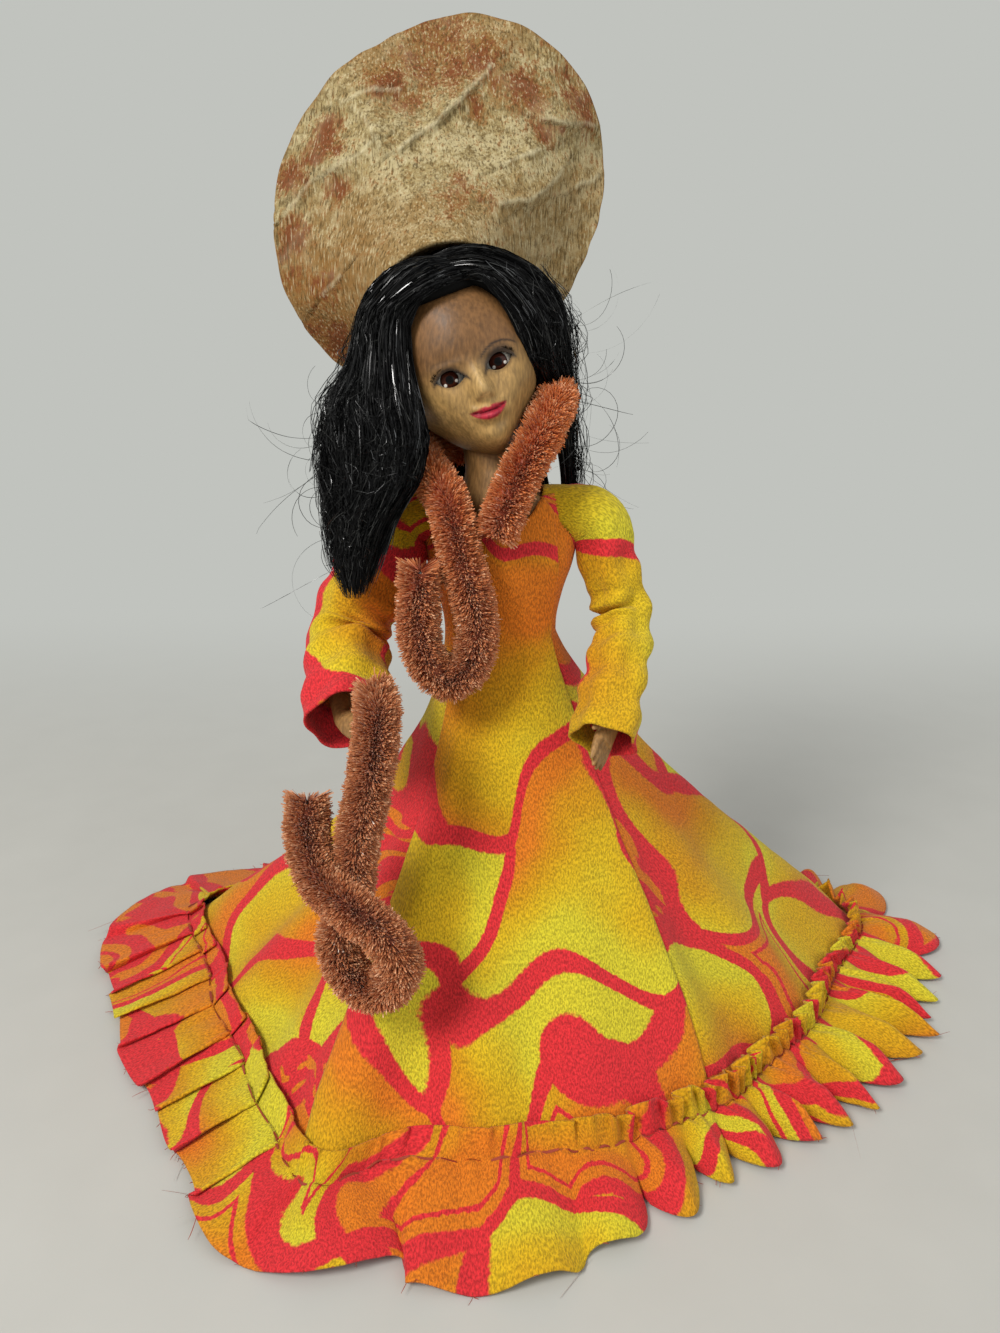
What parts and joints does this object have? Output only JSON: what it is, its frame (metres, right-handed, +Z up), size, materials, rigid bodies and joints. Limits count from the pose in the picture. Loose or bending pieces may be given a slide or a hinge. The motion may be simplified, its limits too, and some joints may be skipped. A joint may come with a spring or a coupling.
{
  "type": "souvenir doll",
  "caption": "Strung souvenir doll with sleep eyes in a long ruffled gown, with chenille garlands and a round bark-cloth hat; head, eyes, arms and legs move.",
  "frame": {"origin": "middle of the doll's bounding box on the floor that it stands on", "axes": "+Z up, the doll faces -Y, and its own right hand is towards -X"},
  "size_m": [0.2416, 0.1658, 0.2339],
  "materials": {
    "skin": "satin brown hard plastic",
    "felt": "plain felt",
    "eye": "glossy white with a printed brown iris",
    "wire": "drawn wire",
    "lead": "dull cast lead",
    "hair": "glossy black fibre",
    "bark": "creased beaten bark cloth with rust stains",
    "elastic": "braided elastic cord",
    "gown": "printed crepe, yellow with orange and coral",
    "ruffle": "printed crepe, orange with yellow and coral",
    "pile": "clipped rust-coloured chenille pile"
  },
  "bodies": {
    "torso": {"torso_front": "skin", "torso_back": "skin", "arm_elastic": "elastic", "leg_elastic": "elastic", "gown_front": "gown", "gown_side_left": "gown", "gown_back_left": "gown", "gown_back_right": "gown", "gown_side_right": "gown", "hem_ruffle": "ruffle", "neck_garland": "pile"},
    "neck": {"neck_lining": "felt"},
    "head": {"face_shell": "skin", "head_back": "skin", "hair_crown": "hair", "hair_lock_right": "hair", "hair_lock_left": "hair", "hair_back": "hair", "hat_crown": "bark", "hat_brim": "bark"},
    "eyes": {"eyeball_right": "eye", "eyeball_left": "eye", "eye_axle": "wire", "eye_weight": "lead"},
    "right_arm": {"right_arm": "skin", "right_sleeve": "ruffle"},
    "left_arm": {"left_arm": "skin", "left_sleeve": "ruffle"},
    "garland": {"hand_garland": "pile"},
    "right_leg": {"right_leg": "skin"},
    "left_leg": {"left_leg": "skin"}
  },
  "joints": [
    {"name": "head_tilt", "type": "hinge", "parent": "torso", "child": "neck", "pos_m": [-0.00675, 0.00458, 0.1425], "axis": [0, 1, 0], "range_deg": [-6, 30], "deforming": ["neck_garland", "hair_lock_right", "hair_lock_left", "hair_back"]},
    {"name": "head_turn", "type": "hinge", "parent": "neck", "child": "head", "pos_m": [-0.00675, 0.00458, 0.1425], "axis": [-0.342, 0, 0.9397], "range_deg": [-35, 35]},
    {"name": "eye_close", "type": "hinge", "parent": "head", "child": "eyes", "pos_m": [-0.01231, -0.00535, 0.16134], "axis": [0.9327, 0.1219, 0.3395], "range_deg": [0, 60]},
    {"name": "right_shoulder", "type": "hinge", "parent": "torso", "child": "right_arm", "pos_m": [-0.0263, 0.00458, 0.131], "axis": [-1, 0, 0], "range_deg": [0, 70]},
    {"name": "left_shoulder", "type": "hinge", "parent": "torso", "child": "left_arm", "pos_m": [0.0128, 0.00458, 0.131], "axis": [-1, 0, 0], "range_deg": [-5, 80]},
    {"name": "garland_swing", "type": "hinge", "parent": "right_arm", "child": "garland", "pos_m": [-0.03525, -0.02681, 0.09], "axis": [-1, 0, 0], "range_deg": [-70, 0]},
    {"name": "right_hip", "type": "hinge", "parent": "torso", "child": "right_leg", "pos_m": [-0.01375, 0.00458, 0.0835], "axis": [-1, 0, 0], "range_deg": [-12, 12]},
    {"name": "left_hip", "type": "hinge", "parent": "torso", "child": "left_leg", "pos_m": [0.00025, 0.00458, 0.0835], "axis": [-1, 0, 0], "range_deg": [-12, 12]}
  ],
  "couplings": [
    {"joint": "garland_swing", "follows": "right_shoulder", "ratio": -1}
  ]
}
